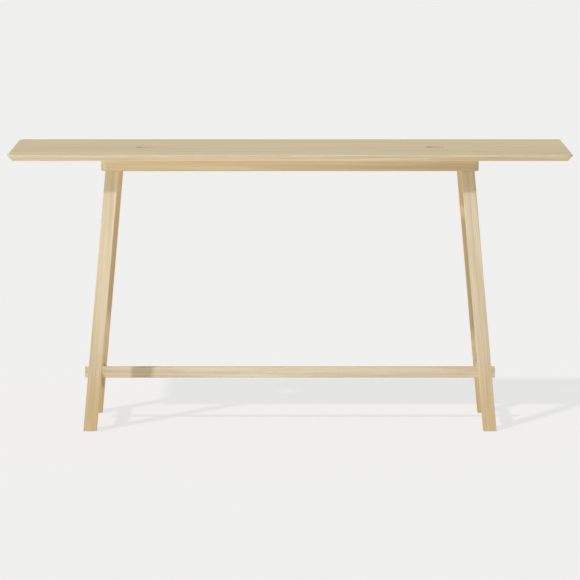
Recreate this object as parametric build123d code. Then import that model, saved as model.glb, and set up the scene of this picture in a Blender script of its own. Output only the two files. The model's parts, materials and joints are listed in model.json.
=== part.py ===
from build123d import *
import math
import os

# Free-standing timber table: an edge-glued top on a mortised frame, carried by two leaning
# trestles that one central stretcher ties together.
# Millimetres. +Z is up, +X runs along the length, the front faces -Y.
# The origin is on the floor, under the middle of the top.

# ---- top -------------------------------------------------------------------------------------
top_length = 1800
top_width = 600
top_thickness = 20
top_height = 905
top_corner_radius = 20
edge_flat = 6                   # upright band left at the rim, above the under-bevel
under_bevel_inset = 15.5
arris_radius = 1.2
board_names = ["top_board_front", "top_board_front_inner", "top_board_centre",
               "top_board_back_inner", "top_board_back"]
cable_hole_diameter = 60
cable_hole_x = 472
cable_hole_arris = 1.5

# ---- frame under the top ---------------------------------------------------------------------
rail_length = 1211
rail_depth = 35
rail_height = 40
rail_end_radius = 20            # outer upright corner of each rail end
rail_inner_radius = 3
frame_depth = 416               # over the outer faces of the two long rails
bearer_thickness = 25
bearer_x = 535
bearer_tenon = (12, 20, 24)     # thickness, length, height
mortise_end_gap = 1             # glue space beyond each tenon

# ---- trestles --------------------------------------------------------------------------------
leg_width = 42.4
leg_depth = 35
leg_foot_x = 646.7              # where a leg's centre line meets the floor
leg_top_x = 570.4               # where it meets the underside of the rail
leg_arris = 1.5
leg_tenon = (28, 14, 28)        # width, depth, length
cross_rail_thickness = 25
cross_rail_height = 42
cross_rail_centre_z = 153
cross_rail_tenon = (12, 24, 28)  # thickness, length, height

# ---- stretcher -------------------------------------------------------------------------------
stretcher_length = 1344
stretcher_depth = 22
stretcher_height = 35
stretcher_bottom_z = 147
stretcher_arris = 1.5

# ---- wooden buttons that hold the top down ----------------------------------------------------
button_length = 40
button_reach = 30
button_tongue = (10, 8)         # how far it enters the rail, thickness
button_thickness = 17
button_shoulder = 2             # the tongue is set in this far at its sides and back
button_xs = [-430, -145, 145, 430]
button_slot_cheek = 10          # rail left above the slot
button_slot = (44, 12, 9)       # length, depth, height

# ---- screws and glides -----------------------------------------------------------------------
screw_clearance = 0.05          # radial, round every shank
screw_end_gap = 0.5             # the hole runs this far past each end of a shank
button_screw = (4.0, 30.0, 8.0)     # shank diameter, length under the head, head diameter
bearer_screw = (4.5, 32.0, 9.0)
stretcher_screw = (5.0, 38.0, 9.5)
screw_head_height = 2.8
screw_slot_width = 1.2
screw_slot_depth = 1.1
bearer_counterbore = (12, 22)   # diameter, depth from below
bearer_slot_travel = 4          # lets the top swell and shrink across its width
bearer_screw_y = 110
stretcher_counterbore = (12, 4)
glide_diameter = 24
glide_height = 1.5
glide_pin = (2.5, 16)           # diameter, length
glide_pin_clearance = 0.05

# ---- worked out from the above ----------------------------------------------------------------
top_underside = top_height - top_thickness
rail_underside = top_underside - rail_height
frame_outer_y = frame_depth / 2
frame_inner_y = frame_outer_y - rail_depth
leg_y = frame_outer_y - leg_depth / 2
lean = math.degrees(math.atan2(leg_foot_x - leg_top_x, rail_underside))
stretcher_centre_z = stretcher_bottom_z + stretcher_height / 2
board_width = top_width / len(board_names)
reach = 3000                    # longer than anything in the table
corner_tolerance = 1            # for picking out the upright edges of a rail's corners

sides = {"left": -1, "right": 1}
faces = {"front": -1, "back": 1}
os.makedirs("parts", exist_ok=True)


def save(solid, name):
    """Write one piece, or one group of equal pieces, as its own file."""
    if isinstance(solid, list):
        solid = Compound(children=solid)
    export_step(solid, f"parts/{name}.step")


def band(z_low, z_high):
    """All the space between two heights."""
    return Pos(0, 0, (z_low + z_high) / 2) * Box(reach, reach, z_high - z_low)


def trestle_place(side):
    """Frame of one trestle: origin where the legs' centre lines meet the floor, Z up the legs."""
    return Pos(side * leg_foot_x, 0, 0) * Rot(0, -side * lean, 0)


# ---- top -------------------------------------------------------------------------------------
def top_slab():
    outline = RectangleRounded(top_length, top_width, top_corner_radius)
    slab = Pos(0, 0, top_underside) * extrude(outline, top_thickness)
    underside = slab.faces().sort_by(Axis.Z)[0]
    bevel_height = top_thickness - edge_flat
    slab = chamfer(underside.edges(), bevel_height, under_bevel_inset, reference=underside)
    slab = fillet(slab.faces().sort_by(Axis.Z)[-1].edges(), arris_radius)
    return slab


def cable_holes():
    """Two round holes through the top on its centre line, with eased rims."""
    radius = cable_hole_diameter / 2
    hole = Pos(0, 0, top_underside + top_thickness / 2) * Cylinder(radius, 2 * top_thickness)
    rim = Pos(0, 0, top_height - cable_hole_arris / 2)
    rim = rim * Cone(radius, radius + cable_hole_arris, cable_hole_arris)
    lower_rim = Pos(0, 0, top_underside + cable_hole_arris / 2)
    lower_rim = lower_rim * Cone(radius + cable_hole_arris, radius, cable_hole_arris)
    cutter = hole + rim + lower_rim
    return [Pos(side * cable_hole_x, 0, 0) * cutter for side in sides.values()]


def top_boards():
    """The slab sawn back into the edge-glued boards that it is made of."""
    slab = top_slab()
    for cutter in cable_holes():
        slab = slab - cutter
    for centre in button_screw_places():
        slab = slab - screw_hole(centre, button_screw)
    for centre in bearer_screw_places():
        slab = slab - screw_hole(centre, bearer_screw)
    boards = {}
    for index, name in enumerate(board_names):
        middle = -top_width / 2 + (index + 0.5) * board_width
        strip = Pos(0, middle, top_height) * Box(reach, board_width, 4 * top_thickness)
        boards[name] = slab & strip
    return boards


# ---- frame -----------------------------------------------------------------------------------
def long_rail(face):
    rail = Pos(0, face * leg_y, top_underside - rail_height / 2)
    rail = rail * Box(rail_length, rail_depth, rail_height)
    upright = rail.edges().filter_by(Axis.Z)
    outer = [edge for edge in upright if face * edge.center().Y > leg_y]
    rail = fillet(outer, rail_end_radius)
    upright = rail.edges().filter_by(Axis.Z)
    inner = [edge for edge in upright
             if face * edge.center().Y < frame_inner_y + corner_tolerance
             and abs(edge.center().X) > rail_length / 2 - corner_tolerance]
    rail = fillet(inner, rail_inner_radius)
    rail = fillet(rail.faces().sort_by(Axis.Z)[0].edges(), leg_arris)
    for side in sides.values():
        rail = rail - leg_tenon_bar(side, face, mortise_end_gap)
    for x in bearer_xs():
        rail = rail - bearer_mortise(x, face)
    for x in button_xs:
        rail = rail - button_slot_cut(x, face)
    return rail


def bearer_xs():
    return [-bearer_x, 0, bearer_x]


def bearer_mortise(x, face):
    thickness, length, height = bearer_tenon
    depth = length + mortise_end_gap
    y = face * (frame_inner_y + depth / 2)
    return Pos(x, y, top_underside - rail_height / 2) * Box(thickness, depth, height)


def cross_bearer(x):
    """Batten under the top, tenoned into both long rails, with slotted holes for its screws."""
    thickness, length, height = bearer_tenon
    middle = Pos(x, 0, top_underside - rail_height / 2)
    body = Box(bearer_thickness, 2 * frame_inner_y, rail_height)
    lower = body.faces().sort_by(Axis.Z)[0].edges().filter_by(Axis.Y)
    body = fillet(lower, leg_arris)
    tenons = Box(thickness, 2 * (frame_inner_y + length), height)
    bearer = middle * (body + tenons)
    for y in (-bearer_screw_y, bearer_screw_y):
        bore, depth = bearer_counterbore
        shank = bearer_screw[0] / 2 + screw_clearance
        counterbore = Pos(x, y, rail_underside + depth / 2) * Cylinder(bore / 2, depth)
        slot = SlotCenterToCenter(bearer_slot_travel, 2 * shank, rotation=90)
        slot = Pos(x, y, rail_underside) * extrude(slot, rail_height)
        bearer = bearer - counterbore - slot
    return bearer


# ---- trestles --------------------------------------------------------------------------------
def leg_tenon_bar(side, face, extra):
    """The leg's top tenon, or with extra length the mortise that takes it."""
    width, depth, length = leg_tenon
    bar = trestle_place(side) * Pos(0, face * leg_y, 0) * Box(width, depth, reach)
    return bar & band(rail_underside, rail_underside + length + extra)


def cross_rail_place(side):
    height_on_leg = cross_rail_centre_z / math.cos(math.radians(lean))
    return trestle_place(side) * Pos(0, 0, height_on_leg)


def cross_rail_mortise(side, face):
    thickness, length, height = cross_rail_tenon
    depth = length + mortise_end_gap
    y = face * (frame_inner_y + depth / 2)
    return cross_rail_place(side) * Pos(0, y, 0) * Box(thickness, depth, height)


def leg(side, face):
    """Square-edged leg, level at the foot and the shoulder, tenoned up into the long rail."""
    bar = Box(leg_width, leg_depth, reach)
    bar = fillet(bar.edges().filter_by(Axis.Z), leg_arris)
    bar = trestle_place(side) * Pos(0, face * leg_y, 0) * bar
    body = bar & band(glide_height, rail_underside)
    body = body + leg_tenon_bar(side, face, 0)
    body = body - cross_rail_mortise(side, face)
    return body - glide_pin_hole(side, face)


def cross_rail(side):
    """Lower rail of a trestle, tenoned into both legs and notched for the stretcher."""
    thickness, length, height = cross_rail_tenon
    body = Box(cross_rail_thickness, 2 * frame_inner_y, cross_rail_height)
    body = fillet(body.edges().filter_by(Axis.Y), leg_arris)
    tenons = Box(thickness, 2 * (frame_inner_y + length), height)
    rail = cross_rail_place(side) * (body + tenons)
    notch = Pos(side * leg_foot_x, 0, stretcher_bottom_z + stretcher_height)
    notch = notch * Box(reach, stretcher_depth, 2 * stretcher_height)
    rail = rail - notch
    centre = stretcher_screw_place(side)
    rail = rail - screw_hole(centre, stretcher_screw)
    bore, depth = stretcher_counterbore
    return rail - Pos(centre[0], centre[1], centre[2] - depth) * Cylinder(bore / 2, 2 * depth)


# ---- stretcher -------------------------------------------------------------------------------
def stretcher():
    bar = Box(stretcher_length, stretcher_depth, stretcher_height)
    bar = fillet(bar.edges().filter_by(Axis.X), stretcher_arris)
    bar = Pos(0, 0, stretcher_centre_z) * bar
    for side in sides.values():
        bar = bar - screw_hole(stretcher_screw_place(side), stretcher_screw)
    return bar


# ---- buttons ---------------------------------------------------------------------------------
def button_slot_cut(x, face):
    length, depth, height = button_slot
    y = face * (frame_inner_y + depth / 2)
    return Pos(x, y, top_underside - button_slot_cheek - height / 2) * Box(length, depth, height)


def button(x, face):
    """Block screwed to the top whose tongue pulls up against the cheek of the rail's slot."""
    tongue_length, tongue_thickness = button_tongue
    tongue_top = top_underside - button_slot_cheek
    bottom = tongue_top - tongue_thickness
    y_inner = frame_inner_y - button_reach
    middle_y = face * (frame_inner_y + y_inner) / 2
    block = Pos(x, middle_y, bottom + button_thickness / 2)
    block = block * Box(button_length, button_reach, button_thickness)
    block = fillet(block.edges().filter_by(Axis.Z), leg_arris)
    tongue_width = button_length - 2 * button_shoulder
    tongue_reach = button_reach + tongue_length - 2 * button_shoulder
    tongue_end_y = frame_inner_y + tongue_length
    tongue = Pos(x, face * (tongue_end_y - tongue_reach / 2), bottom + tongue_thickness / 2)
    tongue = tongue * Box(tongue_width, tongue_reach, tongue_thickness)
    centre = (x, face * (frame_inner_y - button_reach / 2), bottom)
    return block + tongue - screw_hole(centre, button_screw)


def button_screw_places():
    bottom = top_underside - button_slot_cheek - button_tongue[1]
    y = frame_inner_y - button_reach / 2
    return [(x, face * y, bottom) for face in faces.values() for x in button_xs]


# ---- screws ----------------------------------------------------------------------------------
def screw(centre, size):
    """Slotted pan-head screw pointing up; the head's flat seat is at the centre given."""
    diameter, length, head = size
    x, y, z = centre
    shank = Pos(0, 0, length / 2) * Cylinder(diameter / 2, length)
    shank = chamfer(shank.edges().sort_by(Axis.Z)[-1], diameter / 4)
    cap = Pos(0, 0, -screw_head_height / 2) * Cylinder(head / 2, screw_head_height)
    cap = fillet(cap.edges().sort_by(Axis.Z)[0], screw_head_height / 2)
    slot = Pos(0, 0, -screw_head_height) * Box(head, screw_slot_width, 2 * screw_slot_depth)
    return Pos(x, y, z) * (shank + (cap - slot))


def screw_hole(centre, size):
    diameter, length, head = size
    x, y, z = centre
    hole_length = length + 2 * screw_end_gap
    return Pos(x, y, z + length / 2) * Cylinder(diameter / 2 + screw_clearance, hole_length)


def bearer_screw_places():
    z = rail_underside + bearer_counterbore[1]
    return [(x, y, z) for x in bearer_xs() for y in (-bearer_screw_y, bearer_screw_y)]


def stretcher_screw_place(side):
    """On the underside of a cross rail, below the stretcher's centre line."""
    x = side * (leg_foot_x - math.tan(math.radians(lean)) * cross_rail_centre_z)
    z = cross_rail_centre_z - cross_rail_height / 2 + stretcher_counterbore[1]
    return (x, 0, z)


# ---- glides ----------------------------------------------------------------------------------
def glide_centre(side, face):
    x = side * (leg_foot_x - math.tan(math.radians(lean)) * glide_height)
    return (x, face * leg_y)


def glide_pin_hole(side, face):
    x, y = glide_centre(side, face)
    diameter, length = glide_pin
    radius = diameter / 2 + glide_pin_clearance
    hole_length = length + 2 * screw_end_gap
    return Pos(x, y, glide_height + length / 2) * Cylinder(radius, hole_length)


def foot_glide(side, face):
    """Thin round pad with a pin driven up into the foot."""
    x, y = glide_centre(side, face)
    diameter, length = glide_pin
    pad = Pos(0, 0, glide_height / 2) * Cylinder(glide_diameter / 2, glide_height)
    pad = fillet(pad.edges().sort_by(Axis.Z)[0], glide_height / 2)
    pin = Pos(0, 0, glide_height + length / 2) * Cylinder(diameter / 2, length)
    return Pos(x, y, 0) * (pad + pin)


# ---- every piece in its own file --------------------------------------------------------------
for name, board in top_boards().items():
    save(board, name)

for face_name, face in faces.items():
    save(long_rail(face), f"{face_name}_long_rail")

for name, x in zip(["left", "middle", "right"], bearer_xs()):
    save(cross_bearer(x), f"{name}_cross_bearer")

for side_name, side in sides.items():
    save(cross_rail(side), f"{side_name}_cross_rail")
    for face_name, face in faces.items():
        save(leg(side, face), f"{face_name}_{side_name}_leg")
        save(foot_glide(side, face), f"{face_name}_{side_name}_foot_glide")

save(stretcher(), "stretcher")
save([button(x, face) for face in faces.values() for x in button_xs], "top_buttons")
save([screw(place, button_screw) for place in button_screw_places()], "button_screws")
save([screw(place, bearer_screw) for place in bearer_screw_places()], "bearer_screws")
save([screw(stretcher_screw_place(side), stretcher_screw) for side in sides.values()],
     "stretcher_screws")
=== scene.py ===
import json
import math
import random

import bpy
from mathutils import Matrix, Vector


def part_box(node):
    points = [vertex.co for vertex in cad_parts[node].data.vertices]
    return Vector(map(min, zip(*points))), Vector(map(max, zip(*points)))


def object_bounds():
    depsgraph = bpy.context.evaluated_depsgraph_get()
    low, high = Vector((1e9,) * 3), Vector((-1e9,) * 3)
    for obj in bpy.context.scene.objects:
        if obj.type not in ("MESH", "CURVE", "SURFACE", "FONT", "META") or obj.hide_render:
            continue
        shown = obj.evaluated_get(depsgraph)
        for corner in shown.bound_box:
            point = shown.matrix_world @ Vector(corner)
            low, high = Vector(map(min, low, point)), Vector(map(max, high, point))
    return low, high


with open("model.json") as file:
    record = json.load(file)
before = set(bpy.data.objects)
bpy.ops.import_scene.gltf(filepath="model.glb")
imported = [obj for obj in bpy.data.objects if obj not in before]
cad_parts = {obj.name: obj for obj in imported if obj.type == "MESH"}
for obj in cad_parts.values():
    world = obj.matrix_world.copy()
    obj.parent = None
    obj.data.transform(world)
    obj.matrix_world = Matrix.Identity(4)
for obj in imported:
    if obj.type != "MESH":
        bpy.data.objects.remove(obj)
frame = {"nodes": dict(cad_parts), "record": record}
cad_low, cad_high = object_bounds()
scene = bpy.context.scene
MM = 0.001
UP = Vector((0, 0, 1))
ALONG = Vector((1, 0, 0))
ACROSS = Vector((0, 1, 0))

# ---- camera: a long lens, square on to the front, looking slightly down -----------------------
CAMERA_DISTANCE = 12.018        # metres in front of the top's front edge
CAMERA_HEIGHT = 1.972
CAMERA_PITCH = 7.11             # degrees below level
CAMERA_LENS = 235.46            # millimetres on a 36 mm sensor


def place_camera():
    camera = bpy.data.objects.new("camera", bpy.data.cameras.new("camera"))
    scene.collection.objects.link(camera)
    centre_x = (cad_low.x + cad_high.x) / 2
    camera.location = (centre_x, cad_low.y - CAMERA_DISTANCE, CAMERA_HEIGHT)
    camera.rotation_euler = (math.radians(90 - CAMERA_PITCH), 0, 0)
    camera.data.lens = CAMERA_LENS
    camera.data.sensor_width = 36
    camera.data.clip_end = 400
    scene.camera = camera


# ---- colour and node helpers -----------------------------------------------------------------
def linear(hex_colour):
    """An sRGB hex colour as the linear RGBA that a shader's socket takes."""
    channels = [int(hex_colour[i:i + 2], 16) / 255 for i in (1, 3, 5)]
    channels = [c / 12.92 if c <= 0.04045 else ((c + 0.055) / 1.055) ** 2.4 for c in channels]
    return (*channels, 1.0)


def tinted(hex_colour, tint):
    """The same colour, seen through a tint given as red, green and blue factors."""
    return (*[min(1.0, c * t) for c, t in zip(linear(hex_colour), tint)], 1.0)


def add(tree, kind, inputs=None, stops=None, **settings):
    """Adds one node. An input is a value or another node's output; stops fill a colour ramp."""
    node = tree.nodes.new("ShaderNode" + kind)
    for name, value in settings.items():
        setattr(node, name, value)
    for name, value in (inputs or {}).items():
        socket = node.inputs[name]
        if isinstance(value, bpy.types.NodeSocket):
            tree.links.new(value, socket)
        else:
            socket.default_value = value
    if stops:
        ramp = node.color_ramp
        while len(ramp.elements) < len(stops):
            ramp.elements.new(1.0)
        for element, (place, colour) in zip(ramp.elements, stops):
            element.position = place
            element.color = colour if hasattr(colour, "__len__") else (colour, colour, colour, 1)
    return node


def new_material(name):
    """An empty material with a Principled shader already joined to its output."""
    material = bpy.data.materials.new(name)
    material.use_nodes = True
    tree = material.node_tree
    tree.nodes.clear()
    shader = add(tree, "BsdfPrincipled")
    add(tree, "OutputMaterial", {"Surface": shader.outputs[0]})
    return material, tree, shader


def edge_wear(tree, radius):
    """1 on an outer edge that hands and cloths have rubbed, 0 on the flats."""
    rounded = add(tree, "Bevel", {"Radius": radius}, samples=6)
    flat = add(tree, "NewGeometry")
    turn = add(tree, "VectorMath", {0: rounded.outputs[0], 1: flat.outputs["Normal"]},
               operation="DOT_PRODUCT")
    return add(tree, "MapRange", {"Value": turn.outputs["Value"], "From Min": 0.995,
                                  "From Max": 0.90, "To Min": 0.0, "To Max": 1.0})


# ---- oak, planed, sanded and finished with a matt clear hardwax oil ---------------------------
# The oil leaves the wood pale and nearly matt: the eye sees long straight streaks with the
# grain, a slow drift of tone from board to board, fine open pores, and darker end grain.
RING_WIDTH = 4.2 * MM           # one year's growth; drawn at the wide end of oak's 1 to 4 mm
STREAK_WIDTH = 10 * MM          # a band of lighter or darker growth
STREAK_LENGTH = 700 * MM
FIBRE_WIDTH = 1.4 * MM          # a bundle of fibres; single ones are too fine to show
FIBRE_LENGTH = 130 * MM
PORE_WIDTH = 0.5 * MM
PORE_LENGTH = 7 * MM
PITH_OFFSET = 110 * MM          # how far outside the board the tree's centre lay
WANDER_WIDTH = 120 * MM         # the rings bend on this scale across and along a board
WANDER_LENGTH = 900 * MM
WANDER_REACH = 30 * MM
BUMP_DEPTH = 0.12 * MM          # how deep the oiled grain stands
WORN_EDGE = 2 * MM
WOOD_PALE = "#F6E4BC"
WOOD_MIDDLE = "#EDD6A8"
WOOD_DARK = "#DABE8B"
PORE_COLOUR = "#B4965F"
WOOD_ROUGHNESS = 0.55
STREAK_WEIGHT = 1.25            # how much each pattern counts in the tone, palest at 0.15
FIBRE_WEIGHT = 0.60
RING_WEIGHT = 0.16
TONE_BASE = -0.375
PORE_STRENGTH = 0.35
WORN_EDGE_STRENGTH = 0.30
END_GRAIN_TINT = (0.84, 0.78, 0.68, 1)
FOOT_PAINTED_SHADE = (0.93, 0.85, 0.70, 1)   # painted shade: the legs darker and warmer toward the foot

# Painted shade along a timber: the long front pieces darken toward the right end, away from the fill
# lamp, and the front right leg darkens toward its top, under the top's shadow.
PAINTED_SHADE_TINT = (0.85, 0.83, 0.80, 1)   # painted shade, darker toward one end of a timber
PAINTED_SHADE_RUNS = {                       # along which axis, where it starts and where it is full, in metres
    "front_long_rail": ("X", -0.2, 0.58),
    "stretcher": ("X", -0.3, 1.9),
    "top_board_front": ("X", -0.8, 2.2),
    "front_right_leg": ("Z", 0.72, 0.86),
}
CABLE_HOLE = next(mount for mount in frame["record"]["mounts"] if mount["name"] == "right_cable_hole")
HOLE_X = CABLE_HOLE["pos_m"][0]     # the two round holes mirror each other about the middle
HOLE_RADIUS = CABLE_HOLE["dims"]["r_mm"] * MM
# painted shade on the walls of the two holes
HOLE_WALL_PAINTED_SHADE = (0.95, 0.93, 0.91, 1)
HOLE_END_PAINTED_SHADE = (0.26, 0.18, 0.11, 1)     # painted shade, near black, at the end-grain ends of the holes

# Each timber's own tint: partly tone, partly painted light and shade.
# Painted light on the front top board, the stretcher and the front right leg: paler and cooler, as if
# the lamps fell brighter there. Painted shade on the two back legs: darker and warmer. The buttons are
# darker wood, and the other top boards differ a little in tone.
TONE_AND_PAINTED_LIGHT_TINTS = {
    "top_board_front": (1.07, 1.12, 1.18),
    "top_board_front_inner": (1.03, 1.03, 1.01),
    "top_board_centre": (1.02, 1.02, 0.99),
    "top_board_back_inner": (1.04, 1.05, 1.03),
    "top_board_back": (1.05, 1.06, 1.04),
    "stretcher": (1.04, 1.09, 1.18),
    "front_right_leg": (1.03, 1.06, 1.12),
    "back_left_leg": (0.92, 0.87, 0.79),
    "back_right_leg": (0.93, 0.89, 0.82),
    "top_buttons": (0.80, 0.74, 0.66),
}


def stretched(tree, source, across, along):
    """Coordinates in which a unit-sized pattern comes out long with the grain."""
    return add(tree, "VectorMath", {0: source, 1: (1 / along, 1 / across, 1 / across)},
               operation="MULTIPLY").outputs[0]


def oiled_oak(name, grain, seed, tint=(1, 1, 1), foot_height=0.0, bored=False, painted_shade_run=None):
    """Oak for one timber. grain is the way it runs; the last argument is a run of painted shade, if
    any.
    """
    material, tree, shader = new_material(name)
    draw = random.Random(seed)
    roll = draw.uniform(0, 2 * math.pi)
    turn = Matrix.Rotation(roll, 3, "X") @ grain.rotation_difference(ALONG).to_matrix()
    place = add(tree, "TexCoord")
    shift = (draw.uniform(-3, 3), PITH_OFFSET + draw.uniform(-30, 40) * MM,
             draw.uniform(-60, 60) * MM)
    timber = add(tree, "Mapping", {"Vector": place.outputs["Object"], "Location": shift,
                                   "Rotation": turn.to_euler()}).outputs[0]

    # the trunk was never quite straight, so the rings wander along the board
    slow = stretched(tree, timber, WANDER_WIDTH, WANDER_LENGTH)
    wander = add(tree, "TexNoise", {"Vector": slow, "Scale": 1.0, "Detail": 2.0})
    wander = add(tree, "VectorMath", {0: wander.outputs["Color"], 1: (0.5, 0.5, 0.5)},
                 operation="SUBTRACT").outputs[0]
    bent = add(tree, "VectorMath", {0: wander, 1: (0, WANDER_REACH, WANDER_REACH), 2: timber},
               operation="MULTIPLY_ADD").outputs[0]

    # growth rings round the pith
    section = add(tree, "VectorMath", {0: bent, 1: (0, 1, 1)}, operation="MULTIPLY").outputs[0]
    radius = add(tree, "VectorMath", {0: section}, operation="LENGTH").outputs["Value"]
    years = add(tree, "Math", {0: radius, 1: RING_WIDTH}, operation="DIVIDE").outputs[0]
    season = add(tree, "Math", {0: years}, operation="FRACT").outputs[0]
    latewood = add(tree, "ValToRGB", {"Fac": season},
                   stops=[(0.0, 0.35), (0.18, 0.0), (0.6, 0.15), (0.93, 1.0), (1.0, 0.35)])

    # streaks, fibres and pores
    streak = add(tree, "TexNoise", {"Vector": stretched(tree, bent, STREAK_WIDTH, STREAK_LENGTH),
                                    "Scale": 1.0, "Detail": 3.0, "Roughness": 0.55})
    fibre = add(tree, "TexNoise", {"Vector": stretched(tree, bent, FIBRE_WIDTH, FIBRE_LENGTH),
                                   "Scale": 1.0, "Detail": 3.0, "Roughness": 0.6})
    pore = add(tree, "TexNoise", {"Vector": stretched(tree, bent, PORE_WIDTH, PORE_LENGTH),
                                  "Scale": 1.0, "Detail": 1.0})
    open_pore = add(tree, "MapRange", {"Value": pore.outputs["Fac"], "From Min": 0.62,
                                       "From Max": 0.74})
    early = add(tree, "Math", {0: 1.0, 1: latewood.outputs["Color"]}, operation="SUBTRACT")
    open_pore = add(tree, "Math", {0: open_pore.outputs[0], 1: early.outputs[0]},
                    operation="MULTIPLY").outputs[0]

    # tone: mostly the streaks, then the fibres, with the rings faint
    tone_sum = add(tree, "Math", {0: streak.outputs["Fac"], 1: STREAK_WEIGHT, 2: TONE_BASE},
                   operation="MULTIPLY_ADD").outputs[0]
    tone_sum = add(tree, "Math", {0: fibre.outputs["Fac"], 1: FIBRE_WEIGHT, 2: tone_sum},
                   operation="MULTIPLY_ADD").outputs[0]
    tone_sum = add(tree, "Math", {0: latewood.outputs["Color"], 1: RING_WEIGHT, 2: tone_sum},
                   operation="MULTIPLY_ADD").outputs[0]
    wood = add(tree, "ValToRGB", {"Fac": tone_sum},
               stops=[(0.15, tinted(WOOD_PALE, tint)), (0.5, tinted(WOOD_MIDDLE, tint)),
                      (0.9, tinted(WOOD_DARK, tint))])
    pore_shows = add(tree, "Math", {0: open_pore, 1: PORE_STRENGTH}, operation="MULTIPLY")
    pored = add(tree, "Mix", {"Factor": pore_shows.outputs[0], "A": wood.outputs["Color"],
                              "B": linear(PORE_COLOUR)}, data_type="RGBA")

    # end grain drinks more oil and goes darker
    facing = add(tree, "VectorMath", {0: place.outputs["Normal"], 1: tuple(grain)},
                 operation="DOT_PRODUCT").outputs["Value"]
    facing = add(tree, "Math", {0: facing}, operation="ABSOLUTE").outputs[0]
    end_grain = add(tree, "MapRange", {"Value": facing, "From Min": 0.7, "From Max": 0.95})
    darkened = add(tree, "Mix", {"Factor": end_grain.outputs[0], "A": pored.outputs["Result"],
                                 "B": END_GRAIN_TINT}, data_type="RGBA", blend_type="MULTIPLY")

    # rubbed edges, a little paler and smoother
    wear = edge_wear(tree, WORN_EDGE).outputs[0]
    wear_shows = add(tree, "Math", {0: wear, 1: WORN_EDGE_STRENGTH}, operation="MULTIPLY")
    rubbed = add(tree, "Mix", {"Factor": wear_shows.outputs[0], "A": darkened.outputs["Result"],
                               "B": tinted(WOOD_PALE, tint)}, data_type="RGBA")
    colour = rubbed.outputs["Result"]

    # painted shade along the timber, darker toward one end
    if painted_shade_run:
        axis, start, end = painted_shade_run
        along = add(tree, "SeparateXYZ", {0: place.outputs["Object"]}).outputs[axis]
        along = add(tree, "MapRange", {"Value": along, "From Min": start, "From Max": end})
        colour = add(tree, "Mix", {"Factor": along.outputs[0], "A": colour, "B": PAINTED_SHADE_TINT},
                     data_type="RGBA", blend_type="MULTIPLY").outputs["Result"]

    # painted shade: the legs darker and warmer toward the foot
    if foot_height:
        height = add(tree, "SeparateXYZ", {0: place.outputs["Object"]}).outputs["Z"]
        foot_shade = add(tree, "MapRange", {"Value": height, "From Min": foot_height, "From Max": 0.0},
                     interpolation_type="SMOOTHSTEP")
        colour = add(tree, "Mix", {"Factor": foot_shade.outputs[0], "A": colour, "B": FOOT_PAINTED_SHADE},
                     data_type="RGBA", blend_type="MULTIPLY").outputs["Result"]

    if bored:
        # painted shade in the two holes: the walls a little darker, their end-grain ends near black
        folded = add(tree, "VectorMath", {0: place.outputs["Object"]}, operation="ABSOLUTE")
        from_axis = add(tree, "VectorMath", {0: folded.outputs[0], 1: (-HOLE_X, 0, 0)},
                        operation="ADD").outputs[0]
        from_axis = add(tree, "VectorMath", {0: from_axis, 1: (1, 1, 0)}, operation="MULTIPLY")
        from_axis = add(tree, "VectorMath", {0: from_axis.outputs[0]}, operation="LENGTH")
        wall = add(tree, "MapRange", {"Value": from_axis.outputs["Value"],
                                      "From Min": HOLE_RADIUS + 1.6 * MM,
                                      "From Max": HOLE_RADIUS + 0.4 * MM}).outputs[0]
        hole_shade = add(tree, "Mix", {"Factor": end_grain.outputs[0], "A": HOLE_WALL_PAINTED_SHADE,
                                   "B": HOLE_END_PAINTED_SHADE}, data_type="RGBA").outputs["Result"]
        colour = add(tree, "Mix", {"Factor": wall, "A": colour, "B": hole_shade},
                     data_type="RGBA", blend_type="MULTIPLY").outputs["Result"]

    rough = add(tree, "Math", {0: streak.outputs["Fac"], 1: 0.14, 2: WOOD_ROUGHNESS - 0.07},
                operation="MULTIPLY_ADD").outputs[0]
    rough = add(tree, "Math", {0: wear, 1: -0.08, 2: rough}, operation="MULTIPLY_ADD").outputs[0]

    relief = add(tree, "Math", {0: fibre.outputs["Fac"], 1: 0.5, 2: latewood.outputs["Color"]},
                 operation="MULTIPLY_ADD").outputs[0]
    relief = add(tree, "Math", {0: open_pore, 1: -1.2, 2: relief},
                 operation="MULTIPLY_ADD").outputs[0]
    bump = add(tree, "Bump", {"Height": relief, "Strength": 0.25, "Distance": BUMP_DEPTH})
    for name_of_input, source in (("Base Color", colour), ("Roughness", rough),
                                  ("Normal", bump.outputs[0])):
        tree.links.new(source, shader.inputs[name_of_input])
    shader.inputs["IOR"].default_value = 1.45
    return material


# ---- zinc-plated steel, drawn and headed cold -------------------------------------------------
# Thin zinc over steel gives a soft grey metal with faint turning marks and rubbed rims.
def zinc_plated_steel(name):
    material, tree, shader = new_material(name)
    place = add(tree, "TexCoord").outputs["Object"]
    cloud = add(tree, "TexNoise", {"Vector": place, "Scale": 1 / (3 * MM), "Detail": 4.0})
    wear = edge_wear(tree, 0.4 * MM).outputs[0]
    plating = add(tree, "ValToRGB", {"Fac": cloud.outputs["Fac"]},
                  stops=[(0.3, linear("#A9A8A2")), (0.7, linear("#C4C2BB"))])
    rubbed = add(tree, "Mix", {"Factor": wear, "A": plating.outputs["Color"],
                               "B": linear("#D8D6D0")}, data_type="RGBA")
    rough = add(tree, "MapRange", {"Value": cloud.outputs["Fac"], "To Min": 0.28, "To Max": 0.46})
    grain = add(tree, "TexNoise", {"Vector": place, "Scale": 1 / (0.3 * MM)})
    bump = add(tree, "Bump", {"Height": grain.outputs["Fac"], "Strength": 0.1,
                              "Distance": 0.03 * MM})
    tree.links.new(rubbed.outputs["Result"], shader.inputs["Base Color"])
    tree.links.new(rough.outputs[0], shader.inputs["Roughness"])
    tree.links.new(bump.outputs[0], shader.inputs["Normal"])
    shader.inputs["Metallic"].default_value = 1.0
    return material


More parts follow.
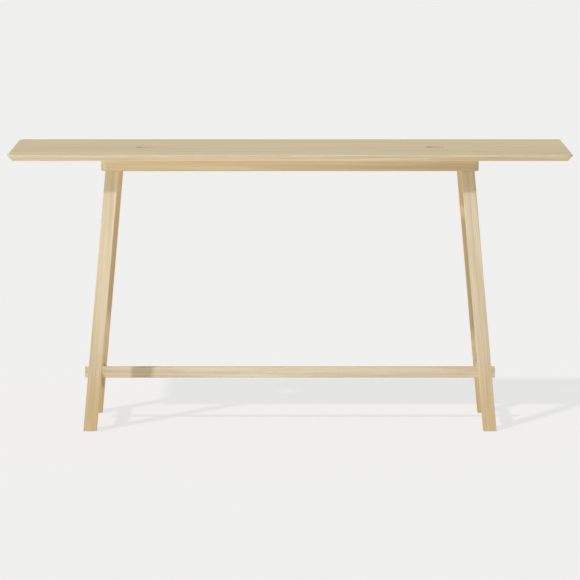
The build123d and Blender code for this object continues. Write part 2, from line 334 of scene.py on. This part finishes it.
# ---- nylon, injection moulded -----------------------------------------------------------------
# Unpigmented nylon is a milky off-white with a fine spark-eroded skin, scuffed where it slides.
def moulded_nylon(name):
    material, tree, shader = new_material(name)
    place = add(tree, "TexCoord").outputs["Object"]
    cloud = add(tree, "TexNoise", {"Vector": place, "Scale": 1 / (5 * MM), "Detail": 3.0})
    skin = add(tree, "TexNoise", {"Vector": place, "Scale": 1 / (0.25 * MM)})
    wear = edge_wear(tree, 0.8 * MM).outputs[0]
    milky = add(tree, "ValToRGB", {"Fac": cloud.outputs["Fac"]},
                stops=[(0.3, linear("#D2CFC4")), (0.7, linear("#DFDCD3"))])
    scuffed = add(tree, "Mix", {"Factor": wear, "A": milky.outputs["Color"],
                                "B": linear("#BDB8AB")}, data_type="RGBA")
    rough = add(tree, "MapRange", {"Value": skin.outputs["Fac"], "To Min": 0.42, "To Max": 0.6})
    bump = add(tree, "Bump", {"Height": skin.outputs["Fac"], "Strength": 0.2,
                              "Distance": 0.05 * MM})
    tree.links.new(scuffed.outputs["Result"], shader.inputs["Base Color"])
    tree.links.new(rough.outputs[0], shader.inputs["Roughness"])
    tree.links.new(bump.outputs[0], shader.inputs["Normal"])
    shader.inputs["IOR"].default_value = 1.53
    return material


# ---- which timber is which -------------------------------------------------------------------
LEG_WIDTH = 42.6 * MM           # measured level, at the foot


def lean_of(leg):
    """The direction a leg's grain runs: up from its foot to its shoulder under the long rail."""
    low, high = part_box(leg)
    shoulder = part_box("front_long_rail")[0].z
    reach = (high.x - low.x) - LEG_WIDTH
    inward = -1 if low.x > 0 else 1
    return Vector((inward * reach, 0, shoulder - low.z)).normalized()


def dress(node, material):
    """Gives one CAD node its material."""
    piece = frame["nodes"][node]
    piece.data.materials.clear()
    piece.data.materials.append(material)


def dress_everything():
    steel = zinc_plated_steel("zinc_plated_steel")
    nylon = moulded_nylon("moulded_nylon")
    for index, node in enumerate(sorted(frame["nodes"])):
        tint = TONE_AND_PAINTED_LIGHT_TINTS.get(node, (1, 1, 1))
        if "screws" in node:
            material = steel
        elif "glide" in node:
            material = nylon
        elif "leg" in node:
            material = oiled_oak("oak_" + node, lean_of(node), index, tint, foot_height=0.35,
                                 painted_shade_run=PAINTED_SHADE_RUNS.get(node))
        elif "cross" in node:
            material = oiled_oak("oak_" + node, ACROSS, index, tint)
        else:
            material = oiled_oak("oak_" + node, ALONG, index, tint,
                                 bored=node == "top_board_centre", painted_shade_run=PAINTED_SHADE_RUNS.get(node))
        dress(node, material)


# ---- studio ----------------------------------------------------------------------------------
FLOOR_RADIUS = 150
FLOOR_ALBEDO = (0.29, 0.24, 0.16)   # a warm grey, so that the cool key lights it neutral
FLOOR_GLOW = (0.645, 0.675, 0.703)
CEILING_LIGHT = 0.85            # straight up, fading to nothing at the horizon
BACK_WALL_LIGHT = 0.165
BACKDROP = (0.875, 0.875, 0.86)
SUN_STRENGTH = 1.54
SUN_COLOUR = (0.91, 1.0, 1.34)
SUN_TRAVEL = Vector((0.52, 0.745, -1.0))
SUN_WIDTH = 2.5                 # degrees across, for the soft shadow edges
FILL_PLACE = Vector((-2.61, -1.8, 0.53))
FILL_AIM = Vector((-0.25, -0.25, 0.62))
FILL_SIZE = 0.5
FILL_SPREAD = 24                # degrees
FILL_POWER = 0.55
FILL_COLOUR = (0.83, 1.0, 1.45)


def white_floor():
    """A matt studio floor that glows, so that shadows on it stay pale. From below it is clear."""
    mesh = bpy.data.meshes.new("floor")
    corners = [(FLOOR_RADIUS * x, FLOOR_RADIUS * y, 0)
               for x, y in ((-1, -1), (1, -1), (1, 1), (-1, 1))]
    mesh.from_pydata(corners, [], [(0, 1, 2, 3)])
    floor = bpy.data.objects.new("floor", mesh)
    scene.collection.objects.link(floor)
    material, tree, shader = new_material("matt_white_floor")
    shader.inputs["Base Color"].default_value = (*FLOOR_ALBEDO, 1)
    shader.inputs["Roughness"].default_value = 1.0
    shader.inputs["Specular IOR Level"].default_value = 0.0
    shader.inputs["Emission Color"].default_value = (*FLOOR_GLOW, 1)
    shader.inputs["Emission Strength"].default_value = 1.0
    clear = add(tree, "BsdfTransparent")
    from_below = add(tree, "NewGeometry").outputs["Backfacing"]
    one_sided = add(tree, "MixShader", {0: from_below, 1: shader.outputs[0], 2: clear.outputs[0]})
    surface = next(node for node in tree.nodes if node.bl_idname == "ShaderNodeOutputMaterial")
    tree.links.new(one_sided.outputs[0], surface.inputs["Surface"])
    mesh.materials.append(material)


def add_light(name, kind, place, direction, energy, colour):
    light = bpy.data.objects.new(name, bpy.data.lights.new(name, kind))
    scene.collection.objects.link(light)
    light.location = place
    light.rotation_mode = "QUATERNION"
    light.rotation_quaternion = direction.to_track_quat("-Z", "Y")
    light.data.energy = energy
    light.data.color = colour
    return light


def light_studio():
    world = bpy.data.worlds.new("studio")
    world.use_nodes = True
    tree = world.node_tree
    look = add(tree, "TexCoord").outputs["Generated"]
    strength = 0.0
    for wall, brightness in ((UP, CEILING_LIGHT), (ACROSS, BACK_WALL_LIGHT)):
        toward = add(tree, "VectorMath", {0: look, 1: wall}, operation="DOT_PRODUCT")
        toward = add(tree, "Math", {0: toward.outputs["Value"], 1: 0.0}, operation="MAXIMUM")
        toward = add(tree, "Math", {0: toward.outputs[0], 1: 2.0}, operation="POWER")
        strength = add(tree, "Math", {0: toward.outputs[0], 1: brightness, 2: strength},
                       operation="MULTIPLY_ADD").outputs[0]
    # the table is lit by the room, and the camera sees a plain backdrop behind it
    room = add(tree, "Background", {"Color": (1, 1, 1, 1), "Strength": strength})
    backdrop = add(tree, "Background", {"Color": (*BACKDROP, 1), "Strength": 1.0})
    seen = add(tree, "LightPath").outputs["Is Camera Ray"]
    shown = add(tree, "MixShader", {0: seen, 1: room.outputs[0], 2: backdrop.outputs[0]})
    tree.links.new(shown.outputs[0], tree.nodes["World Output"].inputs["Surface"])
    scene.world = world
    sun = add_light("key", "SUN", -4 * SUN_TRAVEL, SUN_TRAVEL, SUN_STRENGTH, SUN_COLOUR)
    sun.data.angle = math.radians(SUN_WIDTH)
    fill = add_light("fill", "AREA", FILL_PLACE, FILL_AIM - FILL_PLACE, FILL_POWER, FILL_COLOUR)
    fill.data.size = FILL_SIZE
    fill.data.spread = math.radians(FILL_SPREAD)
    fill.visible_camera = False


place_camera()
scene.view_settings.view_transform = "Standard"
white_floor()
light_studio()
dress_everything()
